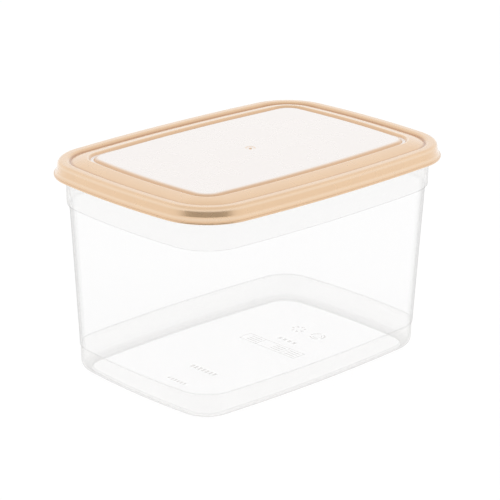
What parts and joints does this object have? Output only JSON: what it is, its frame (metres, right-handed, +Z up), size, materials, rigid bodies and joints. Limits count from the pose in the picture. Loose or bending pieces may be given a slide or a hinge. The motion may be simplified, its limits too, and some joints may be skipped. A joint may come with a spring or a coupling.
{
  "type": "food storage container",
  "caption": "Rectangular press-on food storage container: tapered clear tub with frosted collar and foot band, and a peach lid with a raised panel.",
  "frame": {"origin": "middle of the flat ring that the tub stands on, at the level it stands on", "axes": "+X along the long side, +Y along the short side, +Z up through the lid"},
  "size_m": [0.2036, 0.1452, 0.1235],
  "materials": {
    "tub_plastic": "clear gloss, with a frosted collar and foot band",
    "lid_plastic": "satin peach with a paler centre panel"
  },
  "bodies": {
    "root": {"tub": "tub_plastic", "lid": "lid_plastic"}
  },
  "joints": []
}
